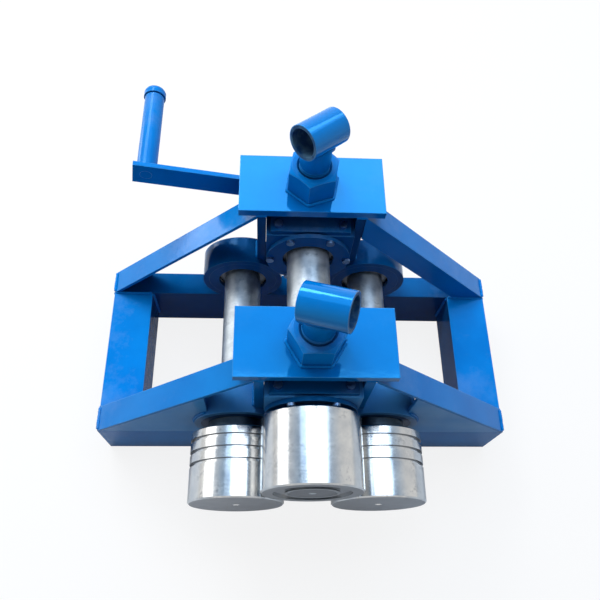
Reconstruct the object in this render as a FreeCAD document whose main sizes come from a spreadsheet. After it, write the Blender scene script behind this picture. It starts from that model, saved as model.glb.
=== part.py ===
"""Ring roller: a hand-cranked three-roller bender on a welded steel frame.

Axes: +X to the right seen from the roller end, +Y along the shafts towards the crank, +Z up.
Origin: the middle of the front bar's underside, on the surface that the frame stands on.
All sizes are millimetres.  Sizes holds the driving dimensions, Places what follows from them.
"""
import FreeCAD
import Part
import Sketcher
import os
import re
from FreeCAD import Placement, Rotation, Vector

SIZES = {
    # Welded base: two rectangular tubes across, two along, and plates that close the tube ends.
    "frame_width": 500,
    "truss_spacing": 187,
    "bar_height": 80,
    "bar_depth": 30,
    "bar_wall": 4,
    "rail_width": 50,
    "rail_height": 60,
    "rail_wall": 4,
    "end_plate_thickness": 4,
    # Trusses: angle-iron diagonals, web plates on the roller side, top plates and guide posts.
    "slide_room": 26,
    "top_plate_width": 160,
    "top_plate_depth": 74,
    "top_plate_thickness": 10,
    "angle_leg": 30,
    "angle_wall": 4,
    "web_thickness": 4,
    "web_inner_place": 112,
    "guide_gap": 100,
    "post_thickness": 10,
    "post_depth": 56,
    "post_setback": 2,
    # Rollers and shafts.
    "shaft_spacing": 157,
    "lower_shaft_diameter": 45,
    "upper_shaft_diameter": 50,
    "roller_diameter": 105,
    "roller_length": 76,
    "roller_gap": 2.2,
    "roller_standoff": 17.5,
    "roller_chamfer": 1.5,
    "groove_first": 11,
    "groove_pitch": 13,
    "groove_width": 4,
    "groove_depth": 3,
    "lower_roller_end_wall": 10,
    "end_recess_outer": 80,
    "end_recess_wall": 3,
    "end_recess_depth": 4,
    "centre_hole_diameter": 8,
    "centre_hole_depth": 6,
    "roller_key_width": 14,
    "roller_key_height": 9,
    "roller_key_length": 50,
    # Lower bearing housings, which sit in shallow saddles on the bars.
    "housing_diameter": 100,
    "housing_length": 34,
    "housing_proud": 4,
    "housing_seat": 2,
    "lower_bearing_outer": 85,
    "lower_bearing_width": 19,
    "lower_ball": 12,
    "lower_cover_thickness": 5,
    "lower_spacer_wall": 6.5,
    "lower_collar_lip": 5,
    "cover_gap": 1,
    "shoulder_gap": 3,
    "lower_shaft_tail": 6,
    # Sliding blocks of the upper shaft.
    "slide_clearance": 0.3,
    "block_depth": 65,
    "block_proud": 8,
    "block_rise": 44,
    "block_housing_gap": 5,
    "upper_bearing_outer": 80,
    "upper_bearing_width": 16,
    "upper_ball": 9,
    "upper_spacer_wall": 4,
    "upper_cover_thickness": 5,
    "upper_cover_diameter": 98,
    "cover_bolt_circle": 90,
    "cover_bolt_head": 9,
    "cover_bolt_head_height": 3,
    "cover_bolt_shank": 6,
    "cover_bolt_length": 17,
    "retainer_width": 90,
    "retainer_depth": 61,
    "retainer_inset": 2,
    "retainer_thickness": 6,
    "retainer_bolt_spacing": 72,
    "retainer_bolt_inset": 8,
    "retainer_bolt_head": 9,
    "retainer_bolt_head_height": 5,
    "retainer_bolt_shank": 5,
    "retainer_bolt_length": 10,
    # Pressure screws with their T-shaped heads.
    "screw_diameter": 33,
    "screw_hole_clearance": 1,
    "screw_neck_diameter": 26,
    "screw_foot_thickness": 6,
    "nut_across_flats": 50,
    "nut_height": 33,
    "nut_face_diameter": 47.5,
    "nut_chamfer_angle": 30,
    "nut_countersink_diameter": 38,
    "tee_rise": 80,
    "tee_diameter": 38,
    "tee_wall": 4,
    "tee_length": 47,
    "front_tee_angle": -19.5,
    "rear_tee_angle": 41.5,
    "front_tee_tilt": 14,
    "rear_tee_tilt": -9,
    "front_tee_shift": 4.4,
    "rear_tee_shift": 2.5,
    # Crank.
    "hub_diameter": 72,
    "hub_length": 30,
    "hub_gap": 6,
    "crank_throw": 195,
    "crank_angle": 10.3,
    "arm_width": 32,
    "arm_thickness": 6,
    "arm_gap": 3,
    "arm_end_overhang": 15.5,
    "hub_key_width": 14,
    "hub_key_height": 9,
    "hub_key_length": 24,
    "grip_pin_diameter": 14,
    "grip_diameter": 24,
    "grip_length": 112,
    "grip_head_diameter": 27,
    "grip_head_length": 11,
    "grip_head_round": 4,
    "grip_chamfer": 1,
    "grip_end_gap": 0.3,
    # Fits.
    "press_clearance": 0.02,
    "running_clearance": 0.05,
    "ball_clearance": 0.1,
    "seat_clearance": 0.1,
    "face_gap": 0.3,
    "clip_thickness": 1.75,
    "clip_rim": 4,
    "clip_groove_depth": 1.5,
    "clip_side_gap": 0.1,
}

PLACES = {
    "front_face": "-bar_depth / 2",
    "rear_face": "truss_spacing - bar_depth / 2",
    "lower_axis": "bar_height + housing_diameter / 2 - housing_seat",
    "axis_distance": "roller_diameter + roller_gap",
    "axis_rise": "sqrt(axis_distance ^ 2 - (shaft_spacing / 2) ^ 2)",
    "upper_axis": "lower_axis + axis_rise",
    "block_top": "upper_axis + block_rise",
    "block_width": "guide_gap - 2 * slide_clearance",
    "block_round": "min(block_width / 2; axis_distance - housing_diameter / 2 - block_housing_gap)",
    "plate_underside": "block_top + slide_room",
    "top_height": "plate_underside + top_plate_thickness",
    "nut_corner": "nut_across_flats / 2 / cos(30)",
    "nut_bore": "screw_diameter / 2 + running_clearance",
    "nut_shoulder": "nut_height - (nut_corner - nut_face_diameter / 2) * tan(nut_chamfer_angle)",
    "tee_height": "top_height + tee_rise",
    "diagonal_head": "guide_gap / 2 + post_thickness",
    "diagonal_run": "frame_width / 2 - diagonal_head",
    "diagonal_rise": "plate_underside - bar_height",
    "diagonal_angle": "atan(diagonal_rise / diagonal_run)",
    "web_run": "frame_width / 2 - web_inner_place",
    "web_rise": "web_run * tan(diagonal_angle) - angle_wall / cos(diagonal_angle)",
    "lower_spacer_diameter": "lower_shaft_diameter + 2 * lower_spacer_wall",
    "upper_spacer_diameter": "upper_shaft_diameter + 2 * upper_spacer_wall",
    "lower_collar_diameter": "lower_spacer_diameter + 2 * lower_collar_lip",
    "lower_cover_bore": "lower_spacer_diameter + 2 * cover_gap",
    "upper_cover_bore": "upper_spacer_diameter + 2 * cover_gap",
    "lower_shoulder_bore": "lower_cover_bore + 2 * shoulder_gap",
    "upper_shoulder_bore": "upper_cover_bore + 2 * shoulder_gap",
    "end_recess_inner": "upper_shaft_diameter + 2 * end_recess_wall",
    "collar_top": "block_top + retainer_thickness + face_gap",
    "roller_back": "front_face - roller_standoff",
    "roller_front": "roller_back - roller_length",
    "plate_rear": "rear_face + top_plate_depth",
    "arm_front": "plate_rear + arm_gap",
    "hub_front": "rear_face - block_proud + block_depth + hub_gap",
    "hub_rear": "hub_front + hub_length",
    "arm_rear": "arm_front + arm_thickness",
    "grip_front": "arm_rear + face_gap",
    "grip_rear": "grip_front + grip_length",
    "head_front": "grip_rear + grip_end_gap",
    "head_rear": "head_front + grip_head_length",
    "pin_x": "-crank_throw * cos(crank_angle)",
    "pin_z": "upper_axis + crank_throw * sin(crank_angle)",
    "lower_pitch_radius": "(lower_shaft_diameter + lower_bearing_outer) / 4",
    "upper_pitch_radius": "(upper_shaft_diameter + upper_bearing_outer) / 4",
}

BALL_COUNT = {"lower": 9, "upper": 13}
COVER_BOLT_COUNT = 6
SIDES = {"left": -1, "right": 1}
TRUSSES = ("front", "rear")

document = FreeCAD.newDocument("ring_roller")
sub_parts = []


# ---- The two sheets and the ways to build on them -------------------------------------------------

def linked(formula):
    """Names the sheet of every size or place in a formula."""
    def with_sheet(match):
        word = match.group(0)
        if word in SIZES:
            return "Sizes." + word
        if word in PLACES:
            return "Places." + word
        return word
    return re.sub(r"[a-z_][a-z_0-9]*", with_sheet, str(formula))


def fill_sheets():
    sizes = document.addObject("Spreadsheet::Sheet", "Sizes")
    for row, (alias, value) in enumerate(SIZES.items(), start=1):
        sizes.set(f"A{row}", alias.replace("_", " "))
        sizes.set(f"B{row}", str(value))
        sizes.setAlias(f"B{row}", alias)
    document.recompute()
    places = document.addObject("Spreadsheet::Sheet", "Places")
    for row, (alias, formula) in enumerate(PLACES.items(), start=1):
        places.set(f"A{row}", alias.replace("_", " "))
        places.setAlias(f"B{row}", alias)
        places.set(f"B{row}", "=" + linked(formula))
    document.recompute()


def bind(item, **formulas):
    """Ties properties to the sheets; x, y, z stand for the placement's base."""
    for name, formula in formulas.items():
        path = f".Placement.Base.{name}" if name in ("x", "y", "z") else name
        item.setExpression(path, linked(formula))
    return item


def box(x, y, z, length, width, height):
    block = document.addObject("Part::Box", "box")
    return bind(block, Length=length, Width=width, Height=height, x=x, y=y, z=z)


def cylinder(radius, height, x, y, z, turn=None):
    """A cylinder along Z, or along the direction that the rotation turn gives it."""
    round_bar = document.addObject("Part::Cylinder", "cylinder")
    if turn is not None:
        round_bar.Placement = Placement(Vector(), turn)
    return bind(round_bar, Radius=radius, Height=height, x=x, y=y, z=z)


ALONG_Y = Rotation(Vector(1, 0, 0), -90)


def cylinder_y(radius, length, x, y, z):
    return cylinder(radius, length, x, y, z, ALONG_Y)


def cut(base, *tools):
    for tool in tools:
        result = document.addObject("Part::Cut", "cut")
        result.Base = base
        result.Tool = tool
        base = result
    return base


def fuse(*shapes):
    result = document.addObject("Part::MultiFuse", "fuse")
    result.Shapes = list(shapes)
    return result


def common(*shapes):
    result = document.addObject("Part::MultiCommon", "common")
    result.Shapes = list(shapes)
    return result


def group(*shapes):
    result = document.addObject("Part::Compound", "group")
    result.Links = list(shapes)
    return result


def keep(label, item):
    """Makes an object a sub-part: its label names its file."""
    item.Label = label
    sub_parts.append(item)
    return item


def outline_sketch(body, plane_role, points):
    """A closed outline on an origin plane, each corner held by two bound distances."""
    sketch = body.newObject("Sketcher::SketchObject", "outline")
    planes = [feature for feature in body.Origin.OriginFeatures if feature.Role == plane_role]
    sketch.AttachmentSupport = [(planes[0], "")]
    sketch.MapMode = "FlatFace"
    corners = []
    for point in points:
        corners.append(Vector(*[float(sketch.evalExpression(linked(formula))) for formula in point]))
    count = len(corners)
    for index, corner in enumerate(corners):
        sketch.addGeometry(Part.LineSegment(corner, corners[(index + 1) % count]), False)
    for index in range(count):
        sketch.addConstraint(Sketcher.Constraint("Coincident", index, 2, (index + 1) % count, 1))
    for index, corner in enumerate(corners):
        for kind, value, formula in zip(("DistanceX", "DistanceY"), corner, points[index]):
            number = sketch.addConstraint(Sketcher.Constraint(kind, -1, 1, index, 1, value))
            sketch.renameConstraint(number, f"{kind}{index}")
            sketch.setExpression(f"Constraints.{kind}{index}", linked(formula))
    return sketch


def turned(points, x="0", z="0", angle=360):
    """A body turned about a line along Y, from (radius, y) corners."""
    body = document.addObject("PartDesign::Body", "body")
    turning = body.newObject("PartDesign::Revolution", "turning")
    turning.Profile = outline_sketch(body, "XY_Plane", points)
    turning.ReferenceAxis = (turning.Profile[0], ["V_Axis"])
    turning.Angle = angle
    return bind(body, x=x, z=z)


def turned_upright(points, x="0", y="0"):
    """A body turned about a line along Z, from (radius, z) corners."""
    body = document.addObject("PartDesign::Body", "body")
    turning = body.newObject("PartDesign::Revolution", "turning")
    turning.Profile = outline_sketch(body, "XZ_Plane", points)
    turning.ReferenceAxis = (turning.Profile[0], ["V_Axis"])
    turning.Angle = 360
    return bind(body, x=x, y=y)


def padded(points, length, x="0", y="0", z="0", plane_role="XZ_Plane"):
    """A body with an (x, z) outline padded along +Y, or an (x, y) outline padded along +Z."""
    body = document.addObject("PartDesign::Body", "body")
    pad = body.newObject("PartDesign::Pad", "pad")
    pad.Profile = outline_sketch(body, plane_role, points)
    pad.Reversed = plane_role == "XZ_Plane"
    bind(pad, Length=length)
    return bind(body, x=x, y=y, z=z)


# ---- Base ------------------------------------------------------------------------------------------

def base_bar(truss):
    """A rectangular tube across the frame, with a shallow saddle for each lower housing."""
    y = f"{truss}_face"
    x = "-frame_width / 2 + end_plate_thickness"
    length = "frame_width - 2 * end_plate_thickness"
    outer = box(x, y, "0", length, "bar_depth", "bar_height")
    inner = box(x, f"{y} + bar_wall", "bar_wall", length,
                "bar_depth - 2 * bar_wall", "bar_height - 2 * bar_wall")
    saddles = []
    for side in SIDES.values():
        saddles.append(cylinder_y("housing_diameter / 2 + seat_clearance", "bar_depth",
                                  f"{side} * shaft_spacing / 2", y, "lower_axis"))
    keep(f"{truss}_bar", cut(outer, inner, *saddles))


def end_plates():
    """Four plates that close the ends of the two base bars."""
    plates = []
    for truss in TRUSSES:
        for x in ("-frame_width / 2", "frame_width / 2 - end_plate_thickness"):
            plates.append(box(x, f"{truss}_face", "0", "end_plate_thickness", "bar_depth", "bar_height"))
    keep("bar_end_plates", group(*plates))


def rail(name, side):
    """A rectangular tube along the frame, level with the tops of the bars."""
    x = "-frame_width / 2" if side < 0 else "frame_width / 2 - rail_width"
    y = "front_face + bar_depth"
    z = "bar_height - rail_height"
    length = "truss_spacing - bar_depth"
    outer = box(x, y, z, "rail_width", length, "rail_height")
    inner = box(f"{x} + rail_wall", y, f"{z} + rail_wall", "rail_width - 2 * rail_wall", length,
                "rail_height - 2 * rail_wall")
    keep(f"{name}_rail", cut(outer, inner))


# ---- Trusses ---------------------------------------------------------------------------------------

def slanted_strip(side, y, depth, thickness):
    """A strip under the diagonal's top line, ending on the bar and under the top plate."""
    points = (
        (f"{side} * frame_width / 2", "bar_height"),
        (f"{side} * diagonal_head", "plate_underside"),
        (f"{side} * diagonal_head", f"plate_underside - {thickness} / cos(diagonal_angle)"),
        (f"{side} * (frame_width / 2 - {thickness} / sin(diagonal_angle))", "bar_height"),
    )
    return padded(points, depth, y=y)


def diagonal(truss, name, side):
    """An equal angle iron from the bar's outer top corner up to the top plate.

    Its wide face looks up.  The other leg is at the back, but in front on the rear right one.
    """
    y = f"{truss}_face"
    leg_y = y if (truss, name) == ("rear", "right") else f"{y} + angle_leg - angle_wall"
    flange = slanted_strip(side, y, "angle_leg", "angle_wall")
    leg = slanted_strip(side, leg_y, "angle_wall", "angle_leg")
    keep(f"{truss}_{name}_diagonal", fuse(flange, leg))


def front_web(name, side):
    """A plate that fills the front truss between bar, diagonal and lower housing."""
    inner = f"{side} * web_inner_place"
    points = (
        (f"{side} * (frame_width / 2 - angle_wall / sin(diagonal_angle))", "bar_height"),
        (inner, "bar_height"),
        (inner, "bar_height + web_rise"),
    )
    plate = padded(points, "web_thickness", y="front_face")
    housing = cylinder_y("housing_diameter / 2 + seat_clearance", "web_thickness",
                         f"{side} * shaft_spacing / 2", "front_face", "lower_axis")
    keep(f"front_{name}_web", cut(plate, housing))


def top_plate(truss):
    y = f"{truss}_face"
    plate = box("-top_plate_width / 2", y, "plate_underside",
                "top_plate_width", "top_plate_depth", "top_plate_thickness")
    hole = cylinder("screw_diameter / 2 + screw_hole_clearance", "top_plate_thickness",
                    "0", f"{y} + top_plate_depth / 2", "plate_underside")
    keep(f"{truss}_top_plate", cut(plate, hole))


def guide_posts(truss):
    """Two flat bars from the housings to the top plate, which guide the sliding block."""
    y = f"{truss}_face + post_setback"
    posts = []
    for side in SIDES.values():
        x = "guide_gap / 2" if side > 0 else "-guide_gap / 2 - post_thickness"
        post = box(x, y, "lower_axis", "post_thickness", "post_depth", "plate_underside - lower_axis")
        saddle = cylinder_y("housing_diameter / 2 + seat_clearance", "post_depth",
                            f"{side} * shaft_spacing / 2", y, "lower_axis")
        posts.append(cut(post, saddle))
    keep(f"{truss}_guide_posts", group(*posts))


def screw_nut(truss, first_corner):
    """A hexagon nut welded on the top plate, its top chamfered and its hole countersunk."""
    y = f"{truss}_face + top_plate_depth / 2"
    corners = []
    for number in range(6):
        corner_angle = first_corner + 60 * number
        corners.append((f"nut_corner * cos({corner_angle})", f"nut_corner * sin({corner_angle})"))
    prism = padded(corners, "nut_height", y=y, z="top_height", plane_role="XY_Plane")
    blank = turned_upright((
        ("nut_bore", "top_height"),
        ("nut_corner", "top_height"),
        ("nut_corner", "top_height + nut_shoulder"),
        ("nut_face_diameter / 2", "top_height + nut_height"),
        ("nut_countersink_diameter / 2", "top_height + nut_height"),
        ("nut_bore", "top_height + nut_height - (nut_countersink_diameter / 2 - nut_bore)"),
    ), y=y)
    keep(f"{truss}_screw_nut", common(prism, blank))


# ---- Lower bearings --------------------------------------------------------------------------------

def lower_housing(truss, name, side):
    """A round housing with a bearing seat open to the front and a shoulder at the back."""
    front = f"{truss}_face - housing_proud"
    seat_end = f"{front} + lower_cover_thickness + lower_bearing_width"
    seat = "lower_bearing_outer / 2 + press_clearance"
    keep(f"{truss}_{name}_housing", turned((
        (seat, front),
        ("housing_diameter / 2", front),
        ("housing_diameter / 2", f"{front} + housing_length"),
        ("lower_shoulder_bore / 2", f"{front} + housing_length"),
        ("lower_shoulder_bore / 2", seat_end),
        (seat, seat_end),
    ), x=f"{side} * shaft_spacing / 2", z="lower_axis"))


def lower_covers():
    """Four ring covers, flush in the housings."""
    covers = []
    for truss in TRUSSES:
        front = f"{truss}_face - housing_proud"
        for side in SIDES.values():
            covers.append(turned((
                ("lower_cover_bore / 2", front),
                ("lower_bearing_outer / 2", front),
                ("lower_bearing_outer / 2", f"{front} + lower_cover_thickness"),
                ("lower_cover_bore / 2", f"{front} + lower_cover_thickness"),
            ), x=f"{side} * shaft_spacing / 2", z="lower_axis"))
    keep("lower_covers", group(*covers))


def bearing_ring(size, inner, x, y, z):
    """One ring of a deep-groove ball bearing, with its raceway."""
    pitch = f"{size}_pitch_radius"
    shoulder = f"0.3 * {size}_ball"
    if inner:
        radii = (f"{size}_shaft_diameter / 2 + press_clearance", f"{pitch} - {shoulder}")
    else:
        radii = (f"{pitch} + {shoulder}", f"{size}_bearing_outer / 2")
    width = f"{size}_bearing_width"
    ring = turned(((radii[0], y), (radii[1], y), (radii[1], f"{y} + {width}"),
                   (radii[0], f"{y} + {width}")), x=x, z=z)
    raceway = document.addObject("Part::Torus", "raceway")
    raceway.Placement = Placement(Vector(), ALONG_Y)
    bind(raceway, Radius1=pitch, Radius2=f"{size}_ball / 2 + ball_clearance",
         x=x, y=f"{y} + {width} / 2", z=z)
    return cut(ring, raceway)


def ball_set(size, x, y, z):
    balls = []
    for number in range(BALL_COUNT[size]):
        around = 360 * number / BALL_COUNT[size]
        ball = document.addObject("Part::Sphere", "ball")
        balls.append(bind(ball, Radius=f"{size}_ball / 2", y=f"{y} + {size}_bearing_width / 2",
                          x=f"{x} + {size}_pitch_radius * cos({around})",
                          z=f"{z} + {size}_pitch_radius * sin({around})"))
    return balls


def lower_bearing_fronts():
    return {truss: f"{truss}_face - housing_proud + lower_cover_thickness" for truss in TRUSSES}


def upper_bearing_fronts():
    return {truss: f"{truss}_face - block_proud" for truss in TRUSSES}


def lower_bearings():
    balls = []
    for truss, y in lower_bearing_fronts().items():
        for name, side in SIDES.items():
            x = f"{side} * shaft_spacing / 2"
            keep(f"{truss}_{name}_outer_ring", bearing_ring("lower", False, x, y, "lower_axis"))
            balls.extend(ball_set("lower", x, y, "lower_axis"))
    keep("lower_bearing_balls", group(*balls))


# ---- Sliding blocks --------------------------------------------------------------------------------

def cover_bolt_places(truss):
    """The x, y and z of the bolts around a block's bearing, on the block's front face."""
    places = []
    for number in range(COVER_BOLT_COUNT):
        around = 30 + 360 * number / COVER_BOLT_COUNT
        places.append((f"cover_bolt_circle / 2 * sin({around})", f"{truss}_face - block_proud",
                       f"upper_axis + cover_bolt_circle / 2 * cos({around})"))
    return places


def retainer_bolt_places(truss):
    """The x and y of the bolts that hold a retainer plate on its block."""
    front = f"{truss}_face - block_proud + retainer_inset"
    places = []
    for side in SIDES.values():
        for y in (f"{front} + retainer_bolt_inset", f"{front} + retainer_depth - retainer_bolt_inset"):
            places.append((f"{side} * retainer_bolt_spacing / 2", y))
    return places


def sliding_block(truss):
    """A block with a round bottom that slides between the posts and carries a bearing."""
    front = f"{truss}_face - block_proud"
    screw_y = f"{truss}_face + top_plate_depth / 2"
    lower_half = box("-block_round", front, "upper_axis - block_round",
                     "2 * block_round", "block_depth", "block_round")
    round_bottom = common(lower_half, cylinder_y("block_round", "block_depth",
                                                 "0", front, "upper_axis"))
    top = box("-block_width / 2", front, "upper_axis", "block_width", "block_depth", "block_rise")
    holes = [
        cylinder_y("upper_bearing_outer / 2 + press_clearance", "upper_bearing_width",
                   "0", front, "upper_axis"),
        cylinder_y("upper_shoulder_bore / 2", "block_depth", "0", front, "upper_axis"),
        cylinder("screw_diameter / 2 + face_gap", "screw_foot_thickness + face_gap", "0", screw_y,
                 "block_top - screw_foot_thickness - face_gap"),
    ]
    for x, y, z in cover_bolt_places(truss):
        holes.append(cylinder_y("cover_bolt_shank / 2 + press_clearance",
                                "cover_bolt_length - upper_cover_thickness", x, y, z))
    for x, y in retainer_bolt_places(truss):
        holes.append(cylinder("retainer_bolt_shank / 2 + press_clearance",
                              "retainer_bolt_length", x, y, "block_top - retainer_bolt_length"))
    keep(f"{truss}_block", cut(fuse(top, round_bottom), *holes))


def upper_bearings():
    balls = []
    for truss, y in upper_bearing_fronts().items():
        keep(f"{truss}_block_outer_ring", bearing_ring("upper", False, "0", y, "upper_axis"))
        balls.extend(ball_set("upper", "0", y, "upper_axis"))
    keep("upper_bearing_balls", group(*balls))


def upper_covers():
    """A ring cover on the front of each block, and the bolts that hold it."""
    covers = []
    bolts = []
    for truss in TRUSSES:
        back = f"{truss}_face - block_proud"
        front = f"{back} - upper_cover_thickness"
        ring = turned((
            ("upper_cover_bore / 2", front),
            ("upper_cover_diameter / 2", front),
            ("upper_cover_diameter / 2", back),
            ("upper_cover_bore / 2", back),
        ), z="upper_axis")
        holes = []
        for x, y, z in cover_bolt_places(truss):
            holes.append(cylinder_y("cover_bolt_shank / 2 + seat_clearance", "upper_cover_thickness",
                                    x, front, z))
            head = cylinder_y("cover_bolt_head / 2", "cover_bolt_head_height",
                              x, f"{front} - cover_bolt_head_height", z)
            bolts.append(fuse(head, cylinder_y("cover_bolt_shank / 2", "cover_bolt_length", x, front, z)))
        covers.append(cut(ring, *holes))
    keep("upper_covers", group(*covers))
    keep("cover_bolts", group(*bolts))


def retainers():
    """A plate on each block that holds the screw's foot down in its pocket, and its bolts."""
    plates = []
    bolts = []
    for truss in TRUSSES:
        plate = box("-retainer_width / 2", f"{truss}_face - block_proud + retainer_inset", "block_top",
                    "retainer_width", "retainer_depth", "retainer_thickness")
        holes = [cylinder("screw_neck_diameter / 2 + face_gap", "retainer_thickness", "0",
                          f"{truss}_face + top_plate_depth / 2", "block_top")]
        for x, y in retainer_bolt_places(truss):
            holes.append(cylinder("retainer_bolt_shank / 2 + seat_clearance", "retainer_thickness",
                                  x, y, "block_top"))
            head = cylinder("retainer_bolt_head / 2", "retainer_bolt_head_height",
                            x, y, "block_top + retainer_thickness")
            shank = cylinder("retainer_bolt_shank / 2", "retainer_thickness + retainer_bolt_length",
                             x, y, "block_top - retainer_bolt_length")
            bolts.append(fuse(head, shank))
        plates.append(cut(plate, *holes))
    keep("screw_retainers", group(*plates))
    keep("retainer_bolts", group(*bolts))


# ---- Pressure screws -------------------------------------------------------------------------------

def pressure_screw(truss):
    """A screw with a necked foot in the block; its head end is hollowed to fit the cross tube."""
    y = f"{truss}_face + top_plate_depth / 2"
    stem = turned_upright((
        ("0", "block_top - screw_foot_thickness"),
        ("screw_diameter / 2", "block_top - screw_foot_thickness"),
        ("screw_diameter / 2", "block_top - face_gap"),
        ("screw_neck_diameter / 2", "block_top - face_gap"),
        ("screw_neck_diameter / 2", "collar_top"),
        ("screw_diameter / 2", "collar_top"),
        ("screw_diameter / 2", "tee_height"),
        ("0", "tee_height"),
    ), y=y)
    saddle = tee_blank(truss, "tee_diameter / 2 + seat_clearance", "tee_length + screw_diameter")
    keep(f"{truss}_screw", cut(stem, saddle))


def tee_blank(truss, radius, length, bore=None):
    """A cylinder across the screw's head, a little off its middle, tilted and then turned about it."""
    def lying(bar_radius):
        return cylinder(bar_radius, length, f"{truss}_tee_shift - ({length}) / 2", "0", "0",
                        Rotation(Vector(0, 1, 0), 90))
    tilted = group(lying(radius) if bore is None else cut(lying(radius), lying(bore)))
    tilted.Placement = Placement(Vector(), Rotation(Vector(0, -1, 0), 1))
    tilted.setExpression(".Placement.Rotation.Angle", linked(f"{truss}_tee_tilt"))
    holder = group(tilted)
    holder.Placement = Placement(Vector(), Rotation(Vector(0, 0, 1), 1))
    bind(holder, y=f"{truss}_face + top_plate_depth / 2", z="tee_height")
    holder.setExpression(".Placement.Rotation.Angle", linked(f"{truss}_tee_angle"))
    return holder


def cross_tube(truss):
    """The short open tube across the top of a screw, which takes a turning bar."""
    keep(f"{truss}_cross_tube", tee_blank(truss, "tee_diameter / 2", "tee_length",
                                          "tee_diameter / 2 - tee_wall"))


# ---- Rollers and shafts ----------------------------------------------------------------------------

def lower_roller(name, side):
    """A roller closed at its outer end, with three grooves near its inner end."""
    radius = "roller_diameter / 2"
    bore = "lower_shaft_diameter / 2 + press_clearance"
    points = [
        ("0", "roller_front + centre_hole_depth"),
        ("centre_hole_diameter / 2", "roller_front"),
        (f"{radius} - roller_chamfer", "roller_front"),
        (radius, "roller_front + roller_chamfer"),
    ]
    for number in (2, 1, 0):
        middle = f"roller_back - groove_first - {number} * groove_pitch"
        points.append((radius, f"{middle} - groove_width / 2"))
        points.append((f"{radius} - groove_depth", f"{middle} - groove_width / 2"))
        points.append((f"{radius} - groove_depth", f"{middle} + groove_width / 2"))
        points.append((radius, f"{middle} + groove_width / 2"))
    points += [
        (radius, "roller_back - roller_chamfer"),
        (f"{radius} - roller_chamfer", "roller_back"),
        (bore, "roller_back"),
        (bore, "roller_front + lower_roller_end_wall"),
        ("0", "roller_front + lower_roller_end_wall"),
    ]
    keep(f"{name}_roller", turned(points, x=f"{side} * shaft_spacing / 2", z="lower_axis"))


def upper_roller():
    """The plain driven roller, with a ring recess in its outer end and a keyed bore."""
    radius = "roller_diameter / 2"
    bore = "upper_shaft_diameter / 2 + press_clearance"
    blank = turned((
        (bore, "roller_front"),
        ("end_recess_inner / 2", "roller_front"),
        ("end_recess_inner / 2", "roller_front + end_recess_depth"),
        ("end_recess_outer / 2", "roller_front + end_recess_depth"),
        ("end_recess_outer / 2", "roller_front"),
        (f"{radius} - roller_chamfer", "roller_front"),
        (radius, "roller_front + roller_chamfer"),
        (radius, "roller_back - roller_chamfer"),
        (f"{radius} - roller_chamfer", "roller_back"),
        (bore, "roller_back"),
    ), z="upper_axis")
    keep("upper_roller", cut(blank, key_slot("roller")))


def key_front(place):
    if place == "roller":
        return "roller_back - (roller_length + roller_key_length) / 2"
    return "hub_front + (hub_length - hub_key_length) / 2"


def key_box(place, clearance):
    """A key half in the shaft and half in what it drives, or with a clearance its slot."""
    width = f"{place}_key_width"
    height = f"{place}_key_height"
    length = f"{place}_key_length"
    return box(f"-{width} / 2 - {clearance}", f"{key_front(place)} - {clearance}",
               f"upper_axis + upper_shaft_diameter / 2 - {height} / 2 - {clearance}",
               f"{width} + 2 * {clearance}", f"{length} + 2 * {clearance}", f"{height} + 2 * {clearance}")


def key_slot(place):
    return key_box(place, "press_clearance")


def keys():
    keep("upper_shaft_keys", group(key_box("roller", "0"), key_box("hub", "0")))


def clip_groove(size, bearing_front):
    """The corners of a shaft's groove for a retaining ring behind a bearing, front to back."""
    radius = f"{size}_shaft_diameter / 2"
    start = f"{bearing_front} + {size}_bearing_width"
    end = f"{start} + clip_thickness + 2 * clip_side_gap"
    return [(radius, start), (f"{radius} - clip_groove_depth", start),
            (f"{radius} - clip_groove_depth", end), (radius, end)]


def clips(size, bearing_fronts, x, z):
    """Open retaining rings in the shaft's grooves."""
    rings = []
    groove = f"{size}_shaft_diameter / 2 - clip_groove_depth + press_clearance"
    for y in bearing_fronts:
        front = f"{y} + {size}_bearing_width + clip_side_gap"
        rings.append(turned((
            (groove, front),
            (f"{groove} + clip_rim", front),
            (f"{groove} + clip_rim", f"{front} + clip_thickness"),
            (groove, f"{front} + clip_thickness"),
        ), x=x, z=z, angle=340))
    return group(*rings)


def inner_rings(size, bearing_fronts, x, z):
    return group(*[bearing_ring(size, True, x, y, z) for y in bearing_fronts])


def lower_shaft(name, side):
    """A shaft with its spacer, inner rings and retaining rings."""
    x = f"{side} * shaft_spacing / 2"
    radius = "lower_shaft_diameter / 2"
    fronts = list(lower_bearing_fronts().values())
    end = "rear_face - housing_proud + housing_length + lower_shaft_tail"
    points = [("0", "roller_front + lower_roller_end_wall"),
              (radius, "roller_front + lower_roller_end_wall")]
    for front in fronts:
        points += clip_groove("lower", front)
    points += [(radius, f"{end} - roller_chamfer"), (f"{radius} - roller_chamfer", end), ("0", end)]
    keep(f"{name}_shaft", turned(points, x=x, z="lower_axis"))
    keep(f"{name}_inner_rings", inner_rings("lower", fronts, x, "lower_axis"))
    keep(f"{name}_clips", clips("lower", fronts, x, "lower_axis"))
    bore = f"{radius} + press_clearance"
    cover_front = "front_face - housing_proud"
    keep(f"{name}_spacer", turned((
        (bore, "roller_back"),
        ("lower_collar_diameter / 2", "roller_back"),
        ("lower_collar_diameter / 2", f"{cover_front} - face_gap"),
        ("lower_spacer_diameter / 2", f"{cover_front} - face_gap"),
        ("lower_spacer_diameter / 2", fronts[0]),
        (bore, fronts[0]),
    ), x=x, z="lower_axis"))


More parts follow.
